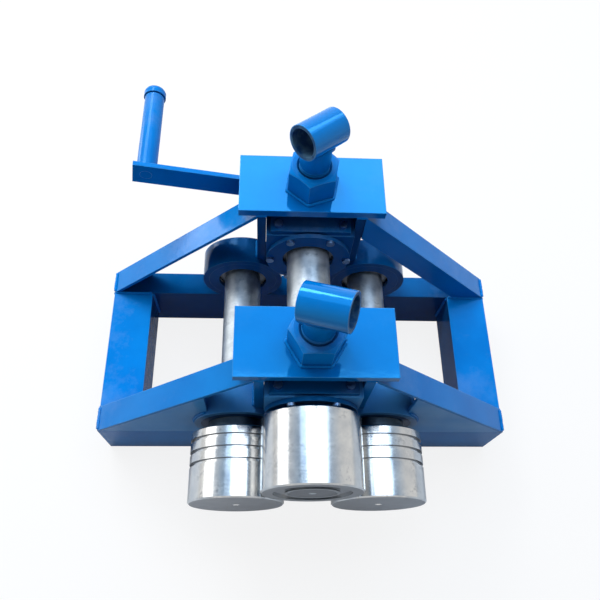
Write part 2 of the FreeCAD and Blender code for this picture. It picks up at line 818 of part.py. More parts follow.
def upper_shaft():
    """The driven shaft from the roller's face to the crank's hub, with what turns on it."""
    radius = "upper_shaft_diameter / 2"
    fronts = list(upper_bearing_fronts().values())
    points = [
        ("0", "roller_front + centre_hole_depth"),
        ("centre_hole_diameter / 2", "roller_front"),
        (f"{radius} - roller_chamfer / 2", "roller_front"),
        (radius, "roller_front + roller_chamfer / 2"),
    ]
    for front in fronts:
        points += clip_groove("upper", front)
    points += [
        (radius, "hub_rear - roller_chamfer"),
        (f"{radius} - roller_chamfer", "hub_rear"),
        ("0", "hub_rear"),
    ]
    blank = turned(points, z="upper_axis")
    keep("upper_shaft", cut(blank, key_slot("roller"), key_slot("hub")))
    keep("upper_inner_rings", inner_rings("upper", fronts, "0", "upper_axis"))
    keep("upper_clips", clips("upper", fronts, "0", "upper_axis"))
    bore = f"{radius} + press_clearance"
    keep("upper_spacer", turned((
        (bore, "roller_back"),
        ("upper_spacer_diameter / 2", "roller_back"),
        ("upper_spacer_diameter / 2", fronts[0]),
        (bore, fronts[0]),
    ), z="upper_axis"))


# ---- Crank -----------------------------------------------------------------------------------------

def crank_hub():
    bore = "upper_shaft_diameter / 2 + press_clearance"
    ring = turned((
        (bore, "hub_front"),
        ("hub_diameter / 2 - roller_chamfer", "hub_front"),
        ("hub_diameter / 2", "hub_front + roller_chamfer"),
        ("hub_diameter / 2", "hub_rear - roller_chamfer"),
        ("hub_diameter / 2 - roller_chamfer", "hub_rear"),
        (bore, "hub_rear"),
    ), z="upper_axis")
    keep("crank_hub", cut(ring, key_slot("hub")))


def crank_arm():
    """A flat bar on edge, hollowed at its root to fit the hub and drilled for the grip's pin."""
    bar = box("0", "0", "-arm_width / 2", "crank_throw + arm_end_overhang", "arm_thickness", "arm_width")
    root = cylinder_y("hub_diameter / 2 + seat_clearance", "arm_thickness", "0", "0", "0")
    hole = cylinder_y("grip_pin_diameter / 2 + press_clearance", "arm_thickness", "crank_throw", "0", "0")
    holder = group(cut(bar, root, hole))
    holder.Placement = Placement(Vector(), Rotation(Vector(0, 1, 0), 180))
    bind(holder, y="arm_front", z="upper_axis")
    holder.setExpression(".Placement.Rotation.Angle", linked("180 + crank_angle"))
    keep("crank_arm", holder)


def grip():
    """A pin with a wide head, welded in the arm, and the sleeve that turns on it."""
    pin = "grip_pin_diameter / 2"
    head = "grip_head_diameter / 2"
    keep("grip_pin", turned((
        ("0", "arm_front"),
        (pin, "arm_front"),
        (pin, "head_front"),
        (head, "head_front"),
        (head, "head_rear - grip_head_round"),
        (f"{head} - 0.3 * grip_head_round", "head_rear - 0.3 * grip_head_round"),
        (f"{head} - grip_head_round", "head_rear"),
        ("0", "head_rear"),
    ), x="pin_x", z="pin_z"))
    bore = f"{pin} + running_clearance"
    keep("grip_sleeve", turned((
        (bore, "grip_front"),
        ("grip_diameter / 2 - grip_chamfer", "grip_front"),
        ("grip_diameter / 2", "grip_front + grip_chamfer"),
        ("grip_diameter / 2", "grip_rear - grip_chamfer"),
        ("grip_diameter / 2 - grip_chamfer", "grip_rear"),
        (bore, "grip_rear"),
    ), x="pin_x", z="pin_z"))


# ---- Building, checking and writing ----------------------------------------------------------------

def build_all():
    fill_sheets()
    end_plates()
    for truss in TRUSSES:
        base_bar(truss)
        top_plate(truss)
        guide_posts(truss)
        for name, side in SIDES.items():
            diagonal(truss, name, side)
            lower_housing(truss, name, side)
        sliding_block(truss)
        pressure_screw(truss)
        cross_tube(truss)
    screw_nut("front", 0)
    screw_nut("rear", 20)
    for name, side in SIDES.items():
        rail(name, side)
        front_web(name, side)
        lower_shaft(name, side)
        lower_roller(name, side)
    lower_covers()
    lower_bearings()
    upper_bearings()
    upper_covers()
    retainers()
    upper_shaft()
    upper_roller()
    keys()
    crank_hub()
    crank_arm()
    grip()
    document.recompute()


def check_all():
    for item in document.Objects:
        if "Invalid" in item.State or "Error" in item.State:
            raise RuntimeError(f"{item.Label} ({item.Name}) failed: {item.State}")
    for item in sub_parts:
        if item.Shape.isNull() or not item.Shape.isValid() or not item.Shape.Solids:
            raise RuntimeError(f"{item.Label} has no valid shape")


def write_all():
    os.makedirs("parts", exist_ok=True)
    for item in sub_parts:
        item.Shape.exportStep(f"parts/{item.Label}.step")
        print(item.Label, len(item.Shape.Solids), round(item.Shape.Volume))


build_all()
check_all()
write_all()
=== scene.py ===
"""A hand-cranked ring roller: an enamelled steel frame, ground bearings, bright shafts and turned rollers."""
import math

import bpy
import numpy as np
from mathutils import Matrix, Vector


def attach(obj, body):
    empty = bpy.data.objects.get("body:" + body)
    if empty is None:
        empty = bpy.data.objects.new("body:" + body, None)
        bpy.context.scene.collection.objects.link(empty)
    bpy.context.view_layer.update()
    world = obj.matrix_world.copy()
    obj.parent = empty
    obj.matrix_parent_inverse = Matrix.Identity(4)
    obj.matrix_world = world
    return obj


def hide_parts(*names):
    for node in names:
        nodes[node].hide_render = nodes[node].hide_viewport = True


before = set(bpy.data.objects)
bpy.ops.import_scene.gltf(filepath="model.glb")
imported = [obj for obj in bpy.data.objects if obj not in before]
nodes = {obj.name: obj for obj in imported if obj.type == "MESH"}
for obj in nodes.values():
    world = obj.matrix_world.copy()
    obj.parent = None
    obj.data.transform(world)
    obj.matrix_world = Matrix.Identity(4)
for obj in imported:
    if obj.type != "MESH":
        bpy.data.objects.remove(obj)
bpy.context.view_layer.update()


# ---- Camera ----------------------------------------------------------------------------------------
# A hand-held view from above the rollers, looking down along the shafts and slightly tilted.

focal_pixels = 635.2
frame_pixels = 600
sensor_width = 36.0
camera_place = Vector((-0.0512, -0.2125, 0.8511))
pitch, yaw, roll = (math.radians(angle) for angle in (63.74, 7.36, 7.47))
ahead = Vector((math.sin(yaw) * math.cos(pitch), math.cos(yaw) * math.cos(pitch), -math.sin(pitch)))
level = Vector((math.cos(yaw), -math.sin(yaw), 0.0))
upward = level.cross(ahead)
right = math.cos(roll) * level + math.sin(roll) * upward
above = math.cos(roll) * upward - math.sin(roll) * level
camera_data = bpy.data.cameras.new("camera")
camera_data.sensor_width = sensor_width
camera_data.lens = focal_pixels * sensor_width / frame_pixels
camera = bpy.data.objects.new("camera", camera_data)
turn = Matrix((right, above, -ahead)).transposed().to_4x4()
camera.matrix_world = Matrix.Translation(camera_place) @ turn
bpy.context.scene.collection.objects.link(camera)
bpy.context.scene.camera = camera


# ---- Studio ----------------------------------------------------------------------------------------
# A white floor that keeps the machine's shadow, a surround that is white at the horizon and pale blue
# overhead, and large soft lamps above and to the left, so that tops are bright, sides are deep, and steel
# shows bands.

def linear(code):
    """The linear colour of an sRGB hex code, with full alpha."""
    parts = np.array([int(code[place:place + 2], 16) for place in (1, 3, 5)]) / 255
    low, high = parts / 12.92, ((parts + 0.055) / 1.055) ** 2.4
    return (*np.where(parts <= 0.04045, low, high), 1.0)


def add_node(tree, kind, inputs=None, **settings):
    """Adds a node, sets its properties, and gives each input a value or another node's output."""
    made = tree.nodes.new(kind)
    for name, value in settings.items():
        setattr(made, name, value)
    for name, value in (inputs or {}).items():
        socket = made.inputs[name]
        if isinstance(value, bpy.types.NodeSocket):
            tree.links.new(value, socket)
        else:
            socket.default_value = value
    return made


def seen_directly(tree):
    """Is Camera Ray alone, and with Is Glossy Ray and Is Transmission Ray: what sees the white background."""
    path = add_node(tree, "ShaderNodeLightPath").outputs
    total = add_node(tree, "ShaderNodeMath", {0: path["Is Camera Ray"], 1: path["Is Glossy Ray"]},
                     operation="ADD").outputs[0]
    seen = add_node(tree, "ShaderNodeMath", {0: total, 1: path["Is Transmission Ray"]}, operation="ADD",
                    use_clamp=True).outputs[0]
    return path["Is Camera Ray"], seen


def floor_card():
    """White card, as white in a mirror as to the eye.

    Part of its white is its own glow, and the rest is lit and takes the shadow, which steel shows deeper.
    Farther out all of it glows, so that the floor meets the surround without an edge.
    """
    material = bpy.data.materials.new("white_card")
    material.use_nodes = True
    tree = material.node_tree
    tree.nodes.clear()
    by_camera, seen = seen_directly(tree)
    tone = add_node(tree, "ShaderNodeMix", {0: seen, 6: linear("#AEAEAE"), 7: linear("#F6F6F6")},
                    data_type="RGBA")
    card = add_node(tree, "ShaderNodeBsdfDiffuse", {"Color": tone.outputs[2]})
    glow = add_node(tree, "ShaderNodeEmission", {"Color": linear("#FFFFFF"), "Strength": 1.0})
    glow_in_steel, more_to_the_eye = 0.15, 0.70
    near_end, far_start = 0.7, 2.6
    near = add_node(tree, "ShaderNodeMath", {0: by_camera, 1: more_to_the_eye, 2: glow_in_steel},
                    operation="MULTIPLY_ADD")
    place = add_node(tree, "ShaderNodeTexCoord").outputs["Object"]
    reach = add_node(tree, "ShaderNodeVectorMath", {0: place}, operation="LENGTH").outputs["Value"]
    glowing = add_node(tree, "ShaderNodeMapRange",
                       {"Value": reach, "From Min": near_end, "From Max": far_start,
                        "To Min": near.outputs[0], "To Max": 1.0}, interpolation_type="SMOOTHSTEP")
    share = add_node(tree, "ShaderNodeMath", {0: seen, 1: glowing.outputs[0]}, operation="MULTIPLY")
    mixed = add_node(tree, "ShaderNodeMixShader",
                     {0: share.outputs[0], 1: card.outputs[0], 2: glow.outputs[0]})
    add_node(tree, "ShaderNodeOutputMaterial", {"Surface": mixed.outputs[0]})
    return material


floor_reach, floor_height = 5, -0.0004
floor_mesh = bpy.data.meshes.new("floor")
floor_mesh.from_pydata([(x * floor_reach, y * floor_reach, floor_height)
                        for x, y in ((-1, -1), (1, -1), (1, 1), (-1, 1))], [], [(0, 1, 2, 3)])
floor_mesh.materials.append(floor_card())
floor = bpy.data.objects.new("floor", floor_mesh)
bpy.context.scene.collection.objects.link(floor)

world = bpy.data.worlds.new("surround")
bpy.context.scene.world = world
world.use_nodes = True
sky = world.node_tree
sky.nodes.clear()
bearing = add_node(sky, "ShaderNodeTexCoord").outputs["Generated"]
rise = add_node(sky, "ShaderNodeSeparateXYZ", {0: bearing}).outputs["Z"]
white_below, blue_above, unseen_strength = 0.45, 0.88, 0.30
height = add_node(sky, "ShaderNodeMapRange",
                  {"Value": rise, "From Min": white_below, "From Max": blue_above})
tint = add_node(sky, "ShaderNodeMix", {0: height.outputs[0], 6: linear("#FFFFFF"), 7: linear("#AECBE8")},
                data_type="RGBA")
strength = add_node(sky, "ShaderNodeMapRange",
                    {"Value": seen_directly(sky)[1], "To Min": unseen_strength, "To Max": 1.0})
shell = add_node(sky, "ShaderNodeBackground", {"Color": tint.outputs[2], "Strength": strength.outputs[0]})
add_node(sky, "ShaderNodeOutputWorld", {"Surface": shell.outputs[0]})


def soft_lamp(name, place, target, width, depth, watts):
    """A rectangular area lamp at one point, facing another."""
    data = bpy.data.lights.new(name, "AREA")
    data.shape, data.size, data.size_y, data.energy = "RECTANGLE", width, depth, watts
    lamp = bpy.data.objects.new(name, data)
    facing = (Vector(target) - Vector(place)).to_track_quat("-Z", "Y").to_matrix().to_4x4()
    lamp.matrix_world = Matrix.Translation(place) @ facing
    bpy.context.scene.collection.objects.link(lamp)


soft_lamp("main_lamp", (-0.85, 1.45, 1.70), (0, 0.08, 0.15), 1.1, 0.6, 24)
soft_lamp("sky_panel", (0.15, 0.90, 1.95), (0, 0.15, 0.2), 2.3, 1.7, 23)
soft_lamp("rear_panel", (0.35, 1.17, 1.55), (0.1, 0.2, 0.25), 1.1, 0.5, 6)
soft_lamp("top_strip", (0.20, 0.28, 1.75), (0.2, 0.27, 0.0), 1.2, 0.45, 4)
soft_lamp("left_strip", (-1.20, 0.45, 0.68), (0, 0.0, 0.15), 1.0, 0.65, 4)
soft_lamp("low_left_lamp", (-1.25, 0.95, 0.20), (0, 0.2, 0.2), 0.4, 0.4, 2.5)
for panel in ("sky_panel", "rear_panel"):
    bpy.data.lights[panel].color = linear("#C4DEFA")[:3]
bpy.context.scene.view_settings.view_transform = "Standard"


# ---- Welded frame ----------------------------------------------------------------------------------
# Rectangular tube, angle iron, flat bar and plate, cut square, welded, and sprayed all over with one
# coat of blue enamel, block, housings, screws, nuts and crank included.

def new_finish(name):
    """A material with an empty tree but for its Principled shader, which is returned with the tree."""
    material = bpy.data.materials.new(name)
    material.use_nodes = True
    tree = material.node_tree
    tree.nodes.clear()
    shader = add_node(tree, "ShaderNodeBsdfPrincipled")
    add_node(tree, "ShaderNodeOutputMaterial", {"Surface": shader.outputs[0]})
    return material, tree, shader


def sprayed_enamel(name, deep="#027ACC", light="#0686D8", painted_edge_highlight=0.35, mirror=False,
                   shade_colour="#0C3560", inner_shade=0.0, tube=None):
    """Alkyd enamel, sprayed: glossy, slightly wavy like orange peel, deeper where the coat is thick.

    Faces that look up are paler in patches: dust, and painted light on the tops.  Painted shade darkens
    corners and recesses, and the inner shade darkens upright faces that look in to the bearings.  Upright
    faces took less paint and shine less.
    Edges are rounded in the shading and painted a lighter blue, a painted highlight.  A mirror coat is
    thicker, smoother and clean, and shows what stands on it.  A tube, given by its middle and axis, is thinly
    painted, grubby steel inside and on its sawn ends.  Peel and waves are drawn coarser than on real paint so
    that they show.
    """
    # Each pattern's scale, to the metre: patches of 60 mm, clouds of dust and painted top light of 90 mm,
    # grit of
    # 11 mm, peel of 2.4 mm and waves of 25 mm.
    patch_scale, dust_light_scale, grit_scale, peel_scale, wave_scale = 16.0, 11.0, 90.0, 420.0, 40.0
    corner_reach, edge_radius, relief_depth = 0.06, 0.0012, 0.0004
    material, tree, shader = new_finish(name)
    where = add_node(tree, "ShaderNodeTexCoord")
    place = where.outputs["Object"]
    patches = add_node(tree, "ShaderNodeTexNoise", {"Vector": place, "Scale": patch_scale, "Detail": 4.0})
    depth = add_node(tree, "ShaderNodeMapRange",
                     {"Value": patches.outputs[0], "From Min": 0.35, "From Max": 0.65})
    colour = add_node(tree, "ShaderNodeMix", {0: depth.outputs[0], 6: linear(deep), 7: linear(light)},
                      data_type="RGBA").outputs[2]

    # Faces that look up are paler in patches: dust, and painted light on the tops.
    looks_up = add_node(tree, "ShaderNodeSeparateXYZ", {0: where.outputs["Normal"]}).outputs["Z"]
    upward = add_node(tree, "ShaderNodeMapRange", {"Value": looks_up, "From Min": 0.35, "From Max": 0.9,
                                                   "To Max": 0.04 if mirror else 0.22})
    cloud = add_node(tree, "ShaderNodeTexNoise",
                     {"Vector": place, "Scale": dust_light_scale, "Detail": 8.0, "Roughness": 0.65})
    dust_and_top_light = add_node(tree, "ShaderNodeMapRange",
                    {"Value": cloud.outputs[0], "From Min": 0.52, "From Max": 0.74})
    dust_and_top_light = add_node(tree, "ShaderNodeMath", {0: dust_and_top_light.outputs[0], 1: upward.outputs[0]}, operation="MULTIPLY")
    colour = add_node(tree, "ShaderNodeMix", {0: dust_and_top_light.outputs[0], 6: colour, 7: linear("#A9BCD2")},
                      data_type="RGBA").outputs[2]

    # Painted shade: corners and recesses, where ambient occlusion is low, are darkened towards the shade
    # colour.
    shut_in = add_node(tree, "ShaderNodeAmbientOcclusion", {"Distance": corner_reach},
                       samples=6).outputs["AO"]
    painted_shade = add_node(tree, "ShaderNodeMapRange", {"Value": shut_in, "From Min": 0.25, "From Max": 0.85,
                                                  "To Min": 0.65, "To Max": 0.0})
    # Painted shade: upright faces that look in towards the machine's middle are darkened as well, by the
    # inner shade.
    machine_middle, level_only = (0, 0.14, 0), (1, 1, 0)
    from_middle = add_node(tree, "ShaderNodeVectorMath", {0: place, 1: machine_middle}, operation="SUBTRACT")
    sideways = add_node(tree, "ShaderNodeVectorMath", {0: from_middle.outputs[0], 1: level_only},
                        operation="MULTIPLY")
    outward = add_node(tree, "ShaderNodeVectorMath", {0: sideways.outputs[0], 1: where.outputs["Normal"]},
                       operation="DOT_PRODUCT").outputs["Value"]
    inward_shade = add_node(tree, "ShaderNodeMapRange", {"Value": outward, "From Min": -0.04, "From Max": -0.01,
                                                   "To Min": inner_shade, "To Max": 0.0})
    painted_shade = add_node(tree, "ShaderNodeMath", {0: painted_shade.outputs[0], 1: inward_shade.outputs[0]}, operation="MAXIMUM")
    colour = add_node(tree, "ShaderNodeMix", {0: painted_shade.outputs[0], 6: colour, 7: linear(shade_colour)},
                      data_type="RGBA").outputs[2]

    grit = add_node(tree, "ShaderNodeTexNoise", {"Vector": place, "Scale": grit_scale, "Detail": 5.0})
    smooth, dull = (0.03, 0.09) if mirror else (0.10, 0.22)
    rough = add_node(tree, "ShaderNodeMapRange",
                     {"Value": grit.outputs[0], "From Min": 0.35, "From Max": 0.75,
                      "To Min": smooth, "To Max": dull}).outputs[0]
    peel = add_node(tree, "ShaderNodeTexNoise", {"Vector": place, "Scale": peel_scale, "Detail": 1.0})
    wave = add_node(tree, "ShaderNodeTexNoise", {"Vector": place, "Scale": wave_scale, "Detail": 2.0})
    waves_to_peel = 5.0
    relief = add_node(tree, "ShaderNodeMath", {0: wave.outputs[0], 1: waves_to_peel, 2: peel.outputs[0]},
                      operation="MULTIPLY_ADD").outputs[0]
    bumped = {"Height": relief, "Strength": 0.05 if mirror else 0.12, "Distance": relief_depth}

    # Painted highlight: a lighter blue is laid along edges, where the rounded normal turns away from the flat
    # one.
    if painted_edge_highlight:
        rounded = add_node(tree, "ShaderNodeBevel", {"Radius": edge_radius}, samples=6)
        flat = add_node(tree, "ShaderNodeNewGeometry").outputs["Normal"]
        same = add_node(tree, "ShaderNodeVectorMath", {0: rounded.outputs[0], 1: flat},
                        operation="DOT_PRODUCT")
        edge = add_node(tree, "ShaderNodeMapRange", {"Value": same.outputs["Value"], "From Min": 0.985,
                                                     "From Max": 0.80, "To Max": painted_edge_highlight})
        colour = add_node(tree, "ShaderNodeMix", {0: edge.outputs[0], 6: colour, 7: linear("#6DB8EC")},
                          data_type="RGBA").outputs[2]
        bumped["Normal"] = rounded.outputs[0]
    if tube:
        # The distance from the axis tells the painted side, at 19 mm, from the ends and the bore.
        (centre, axis), more_rough = tube, 0.45
        arm = add_node(tree, "ShaderNodeVectorMath", {0: place, 1: centre}, operation="SUBTRACT").outputs[0]
        off = add_node(tree, "ShaderNodeVectorMath", {0: arm, 1: axis}, operation="CROSS_PRODUCT").outputs[0]
        away = add_node(tree, "ShaderNodeVectorMath", {0: off}, operation="LENGTH").outputs["Value"]
        inside = add_node(tree, "ShaderNodeMapRange", {"Value": away, "From Min": 0.0178, "From Max": 0.0185,
                                                       "To Min": 1.0, "To Max": 0.0}).outputs[0]
        scale = add_node(tree, "ShaderNodeMapRange",
                         {"Value": grit.outputs[0], "From Min": 0.4, "From Max": 0.6}).outputs[0]
        grubby = add_node(tree, "ShaderNodeMix", {0: scale, 6: linear("#1C4470"), 7: linear("#4A6C86")},
                          data_type="RGBA").outputs[2]
        colour = add_node(tree, "ShaderNodeMix", {0: inside, 6: colour, 7: grubby},
                          data_type="RGBA").outputs[2]
        rough = add_node(tree, "ShaderNodeMath", {0: inside, 1: more_rough, 2: rough},
                         operation="MULTIPLY_ADD").outputs[0]
        sheen = add_node(tree, "ShaderNodeMapRange", {"Value": inside, "To Min": 0.5, "To Max": 0.06})
        tree.links.new(sheen.outputs[0], shader.inputs["Specular IOR Level"])

    tree.links.new(colour, shader.inputs["Base Color"])
    tree.links.new(rough, shader.inputs["Roughness"])
    shader.inputs["IOR"].default_value = 1.85 if mirror else 1.30
    if not mirror:
        sheen = add_node(tree, "ShaderNodeMapRange", {"Value": looks_up, "From Min": 0.2, "From Max": 0.7,
                                                      "To Min": 0.10, "To Max": 0.5})
        tree.links.new(sheen.outputs[0], shader.inputs["Specular IOR Level"])
    shader.inputs["Specular Tint"].default_value = linear("#4CC0FF" if mirror else "#5AB0F5")
    tree.links.new(add_node(tree, "ShaderNodeBump", bumped).outputs[0], shader.inputs["Normal"])
    return material


def finish_nodes(material, *names):
    """Gives CAD nodes a material in place of the one that they came with."""
    for name in names:
        nodes[name].data.materials.clear()
        nodes[name].data.materials.append(material)


# The webs, housings and block behind the rollers gather dust from the work, and are paler too as painted
# light.
# Rails and rear pieces have painted shade inside, and the rear ones are darker all over as painted shade.
# The top plates have the thickest coat.
finish_nodes(sprayed_enamel("sprayed_enamel", "#0274C2", "#067ECC"),
             "front_bar", "bar_end_plates", "front_left_diagonal", "front_right_diagonal",
             "rear_left_diagonal", "rear_right_diagonal", "front_guide_posts",
             "crank_hub", "crank_arm", "grip_pin", "grip_sleeve")
# Dust, and painted light: the front webs, housings and block get a paler copy of the frame's enamel.
finish_nodes(sprayed_enamel("dust_and_light_enamel", "#3A90D6", "#559FDC", shade_colour="#3470A6"),
             "front_left_web", "front_right_web", "front_left_housing", "front_right_housing",
             "front_block")
finish_nodes(sprayed_enamel("rail_enamel", inner_shade=0.8), "left_rail", "right_rail")
# Painted shade: the rear pieces get a darker copy of the frame's enamel.
finish_nodes(sprayed_enamel("rear_shaded_enamel", "#015490", "#0262A2", painted_edge_highlight=0.2, inner_shade=0.7),
             "rear_bar", "rear_guide_posts", "rear_left_housing", "rear_right_housing", "rear_block",
             "lower_covers", "upper_covers", "screw_retainers")
finish_nodes(sprayed_enamel("thick_enamel", "#006CB8", "#0074C2", mirror=True),
             "front_top_plate", "rear_top_plate")
# The nuts' edges get a stronger painted highlight.
finish_nodes(sprayed_enamel("nut_enamel", painted_edge_highlight=0.7), "front_screw_nut", "rear_screw_nut")


# ---- Weld beads of the frame -----------------------------------------------------------------------
# Arc-welded fillets where tubes, angles, plates, posts, housings and nuts meet: rippled, uneven beads
# about 5 mm wide, painted over with the frame.

def weld_tube(points, radius, seed):
    """The grid of one weld bead along a path of points, in metres.

    The path is walked at even steps of 0.9 mm.  Around each step lies a circle whose radius is the bead's,
    times 0.82 plus 0.28 of a half sine per 2.6 mm ripple, times a slow random swell of up to a tenth, and
    falls to nothing as a quarter ellipse over the last radius at both ends.
    """
    step, ripple_length, swell_length, corners_round = 0.0009, 0.0026, 0.008, 8
    points = np.asarray(points, float)
    gone = np.concatenate(([0], np.cumsum(np.linalg.norm(np.diff(points, axis=0), axis=1))))
    length = gone[-1]
    along = np.linspace(0, length, max(int(length / step), 8))
    line = np.stack([np.interp(along, gone, points[:, axis]) for axis in range(3)], 1)
    heading = np.gradient(line, axis=0)
    heading /= np.linalg.norm(heading, axis=1, keepdims=True)
    along_no_path = np.array([0.37, 0.21, 0.90])
    side = np.cross(heading, along_no_path)
    side /= np.linalg.norm(side, axis=1, keepdims=True)
    top = np.cross(heading, side)
    swells = 12 + int(length / swell_length)
    swell = np.interp(along, np.linspace(0, length, swells),
                      np.random.default_rng(seed).uniform(0.9, 1.1, swells))
    ripple = 0.82 + 0.28 * np.abs(np.sin(math.pi * along / ripple_length))
    nose = np.clip(np.minimum(along, length - along) / radius, 0, 1)
    size = radius * ripple * swell * np.sqrt(np.maximum(1 - (1 - nose) ** 2, 0))
    angle = np.linspace(0, 2 * math.pi, corners_round + 1)[:-1]
    ring = side[:, None] * np.cos(angle)[None, :, None] + top[:, None] * np.sin(angle)[None, :, None]
    return line[:, None] + ring * size[:, None, None]


def closed_piece(name, body, grids, material):
    """One mesh of several grids: each closed round and at both ends, smooth, and riding on a body."""
    corners, faces, start = [], [], 0
    for grid in grids:
        rows, columns = grid.shape[:2]
        index = start + np.arange(rows * columns).reshape(rows, columns)
        beside = np.roll(index, -1, axis=1)
        sides = np.stack([index[:-1], beside[:-1], beside[1:], index[1:]], -1).reshape(-1, 4)
        corners.append(grid.reshape(-1, 3))
        faces += sides.tolist() + [index[0, ::-1].tolist(), index[-1].tolist()]
        start += rows * columns
    mesh = bpy.data.meshes.new(name)
    mesh.from_pydata(np.concatenate(corners).tolist(), [], faces)
    mesh.polygons.foreach_set("use_smooth", np.ones(len(faces), bool))
    mesh.materials.append(material)
    piece = bpy.data.objects.new(name, mesh)
    bpy.context.scene.collection.objects.link(piece)
    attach(piece, body)
    return piece


def weld_piece(name, body, beads, material):
    """One mesh of beads: paths in millimetres with their radii.  A bead's seed is its place in the list."""
    closed_piece(name, body, [weld_tube(np.asarray(path, float) / 1000, radius / 1000, number)
                              for number, (path, radius) in enumerate(beads)], material)


def arc_y(x, y, z, radius, first, last):
    """24 points on an arc about a line along Y, with angles in degrees from +X up to +Z."""
    angle = np.radians(np.linspace(first, last, 24))
    return np.stack([x + radius * np.cos(angle), np.full(24, float(y)), z + radius * np.sin(angle)], 1)


def nut_foot(y, first_corner):
    """The corners round a nut's foot on its top plate, once round, from an angle in degrees."""
    angle = np.radians(first_corner + 60 * np.arange(7.0))
    around = (nut_flats / 2 + 0.6) / math.cos(math.pi / 6)
    return np.stack([around * np.cos(angle), y + around * np.sin(angle), np.full(7, plate_top + 0.3)], 1)


bead_paint = sprayed_enamel("enamel_over_welds", painted_edge_highlight=0)

# Sizes of the frame in millimetres.  A bar's front is the lowest Y of its tube and of the truss on it.
half_frame, rail_inside = 250, 200
bar_top, bar_foot, bar_depth = 80, 20, 30
front_bar_at, rear_bar_at = -15, 172
housing_x, housing_z, housing_radius = 78.5, 128, 50
plate_under, plate_top, post_outside = 271, 281, 60
front_screw_y, rear_screw_y, nut_flats = 22.0, 209.0, 50

base_beads = []
for side in (-1, 1):
    # Where a rail meets a bar: over the top, and down the rail's inner and outer sides.
    for y, inward in ((front_bar_at + bar_depth, 1), (rear_bar_at, -1)):
        rail_end, outside = side * rail_inside, side * half_frame
        base_beads += [
            (((side * (half_frame - 1), y, bar_top), (side * (rail_inside + 1), y, bar_top)), 2.0),
            (((rail_end, y + inward * 0.6, bar_top - 1), (rail_end, y + inward * 0.6, bar_foot + 1)), 2.6),
            (((outside, y, bar_top - 1), (outside, y, bar_foot + 1)), 1.6),
        ]
    # Across a bar's top: the foot of its diagonal, and both sides of its housing's seat.
    for y in (front_bar_at, rear_bar_at):
        near, far = y + 1, y + bar_depth - 1
        tip = side * (half_frame - 0.6)
        base_beads.append((((tip, near, bar_top + 0.6), (tip, far, bar_top + 0.6)), 2.2))
        for edge in (-14.6, 14.6):
            seat = side * housing_x + edge
            base_beads.append((((seat, near, bar_top + 0.4), (seat, far, bar_top + 0.4)), 2.6))
    # A web's foot on the front bar, and a quarter round the outer side of its housing.
    base_beads.append((((side * 114, -10.8, bar_top + 0.4), (side * 242, -10.8, bar_top + 0.4)), 2.4))
    outer_quarter = (-46, 46) if side > 0 else (134, 226)
    base_beads.append((arc_y(side * housing_x, front_bar_at - 0.2, housing_z, housing_radius + 0.3,
                             *outer_quarter), 2.0))
weld_piece("base_welds", "frame", base_beads, bead_paint)

head_beads = []
for front in (front_bar_at, rear_bar_at):
    for side in (-1, 1):
        # The diagonal's head and its front edge under the top plate, then the post's seams with the
        # diagonal, with the plate at its rear and outer side, and with the housing.
        edge, seam = side * (post_outside + 0.6), plate_under - 0.6
        head_beads += [
            (((side * 61.5, front + 1, 269.6), (side * 61.5, front + 29, 269.6)), 2.6),
            (((side * 48.5, front + 1.4, seam), (side * 62, front + 1.4, seam)), 2.4),
            (((edge, front + 31, 232), (edge, front + 31, 266)), 2.2),
            (((edge, front + 58.6, seam), (side * 49, front + 58.6, seam)), 2.4),
            (((side * 60.8, front + 33, seam), (side * 60.8, front + 57, seam)), 2.4),
            (((side * 60.5, front + 3, 174.6), (side * 60.5, front + 28, 174.6)), 2.4),
        ]
head_beads += [(nut_foot(front_screw_y, 0), 2.2), (nut_foot(rear_screw_y, 20), 2.2)]
weld_piece("head_welds", "frame", head_beads, bead_paint)


# ---- Pressure screws -------------------------------------------------------------------------------
# Two M33 screws with a short tube welded across each head for a loose turning bar, painted with the
# frame.  A mesh with the thread cut into it replaces each plain screw, and a weld follows the saddle
# where the tube's wall meets the stem.

# Each screw's place along Y in millimetres, and its tube's direction and tilt in degrees.
tees = {"front": (front_screw_y, -19.5, 14.0), "rear": (rear_screw_y, 41.5, -9.0)}
tee_height, tube_radius = 361.004, 19
stem_radius, neck_radius, columns_round = 16.5, 13.0, 72
shoulder_foot, neck_foot, thread_foot, thread_head = 239.004, 244.704, 251.304, 319.304
thread_pitch, thread_depth, thread_end = 3.5, 2.15, 2


def under_tube(across, deep, axis, radius):
    """The height, in mm, at which a point of the stem lies a radius away from the cross tube's axis.

    With a the axis, w the height over the tube's middle and s = a_x x + a_y y, the squared distance is
    x^2 + y^2 + w^2 - (s + a_z w)^2, and the lower of its two solutions for w is taken.
    """
    along = across * axis[0] + deep * axis[1]
    lean = 1 - axis[2] ** 2
    rest = across ** 2 + deep ** 2 - along ** 2 - radius ** 2
    return tee_height + (axis[2] * along - np.sqrt((axis[2] * along) ** 2 - lean * rest)) / lean


